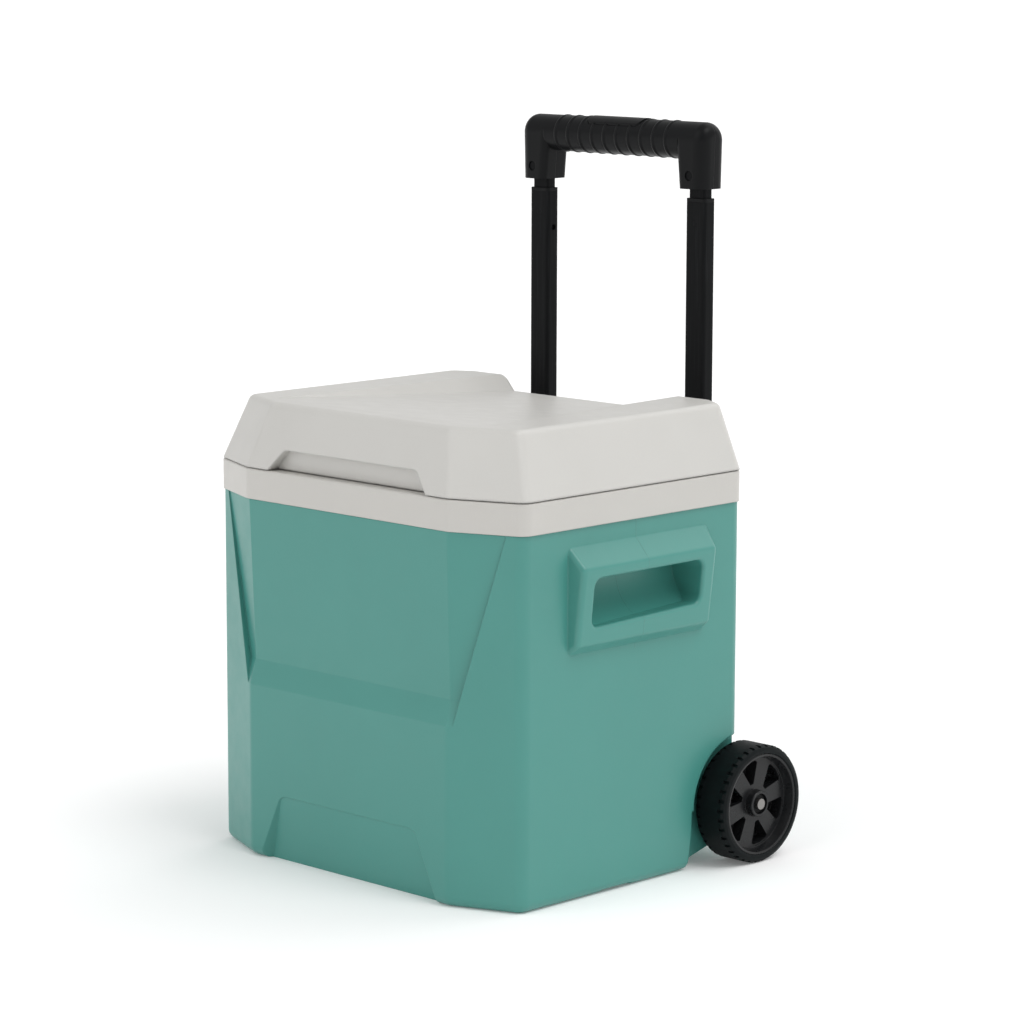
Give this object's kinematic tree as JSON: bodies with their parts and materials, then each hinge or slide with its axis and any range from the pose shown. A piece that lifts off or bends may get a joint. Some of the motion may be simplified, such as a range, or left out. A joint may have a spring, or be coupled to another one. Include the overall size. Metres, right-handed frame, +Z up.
{
  "type": "wheeled cooler",
  "caption": "Small insulated cooler box with a hinged lid, moulded side hand pockets, two rear wheels and a telescoping pull handle with a push-button grip.",
  "frame": {"origin": "on the ground, under the middle of the object's box", "axes": "+Z up, the front of the cooler faces -Y, the handle is at +Y, and the wheel axle runs along X"},
  "size_m": [0.41, 0.3456, 0.618],
  "materials": {
    "shell_teal": "satin",
    "liner_white": "satin",
    "lid_white": "satin",
    "foam": "matte",
    "tube_black": "satin",
    "grip_black": "satin",
    "black_plastic": "matte",
    "wheel_black": "satin",
    "tyre_black": "matte",
    "steel": "satin"
  },
  "bodies": {
    "cooler": {"outer_shell": "shell_teal", "inner_liner": "liner_white", "body_foam": "foam", "hinge_screws": "steel", "handle_bracket_upper": "black_plastic", "handle_bracket_lower": "black_plastic", "bracket_screws": "steel", "axle": "steel", "axle_sleeve": "black_plastic", "axle_washers": "black_plastic", "axle_push_nuts": "tube_black", "hinge_bracket_left": "liner_white", "hinge_bracket_right": "liner_white", "hinge_pin_left": "steel", "hinge_pin_right": "steel", "fixed_tube_left": "tube_black", "fixed_tube_right": "tube_black", "fixed_bush_left": "black_plastic", "fixed_bush_right": "black_plastic"},
    "lid": {"lid_outer": "lid_white", "lid_liner": "liner_white", "lid_foam": "foam"},
    "handle_mid": {"mid_tube_left": "tube_black", "mid_tube_right": "tube_black", "mid_bush_left": "black_plastic", "mid_bush_right": "black_plastic", "mid_lock_plug_left": "black_plastic", "mid_lock_plug_right": "black_plastic", "mid_bush_rivets": "tube_black", "mid_lock_pins": "steel"},
    "handle_grip": {"inner_tube_left": "tube_black", "inner_tube_right": "tube_black", "inner_lock_plug_left": "black_plastic", "inner_lock_plug_right": "black_plastic", "button_spring_left": "steel", "button_spring_right": "steel", "inner_lock_pins": "steel", "grip_front_shell": "grip_black", "grip_rear_shell": "grip_black", "grip_screws": "tube_black"},
    "button": {"release_button": "grip_black", "release_rod_left": "steel", "release_rod_right": "steel"},
    "wheel_left": {"wheel_hub_left": "wheel_black", "tyre_left": "tyre_black"},
    "wheel_right": {"wheel_hub_right": "wheel_black", "tyre_right": "tyre_black"}
  },
  "joints": [
    {"name": "lid_hinge", "type": "hinge", "parent": "cooler", "child": "lid", "pos_m": [0, 0.12, 0.37], "axis": [-1, 0, 0], "range_deg": [0, 90]},
    {"name": "handle_lower_slide", "type": "slide", "parent": "cooler", "child": "handle_mid", "axis": [0, 0, 1], "range_m": [-0.215, 0]},
    {"name": "handle_upper_slide", "type": "slide", "parent": "handle_mid", "child": "handle_grip", "axis": [0, 0, 1], "range_m": [-0.006, 0.19]},
    {"name": "button_press", "type": "slide", "parent": "handle_grip", "child": "button", "axis": [0, 0, -1], "range_m": [0, 0.004], "stiffness_N_per_m": 1200, "springref_m": -0.004, "deforming": ["button_spring_left", "button_spring_right"]},
    {"name": "wheel_left_spin", "type": "hinge", "parent": "cooler", "child": "wheel_left", "pos_m": [-0.188, 0.1155, 0.0503], "axis": [1, 0, 0], "continuous": true},
    {"name": "wheel_right_spin", "type": "hinge", "parent": "cooler", "child": "wheel_right", "pos_m": [0.188, 0.1155, 0.0503], "axis": [1, 0, 0], "continuous": true}
  ]
}
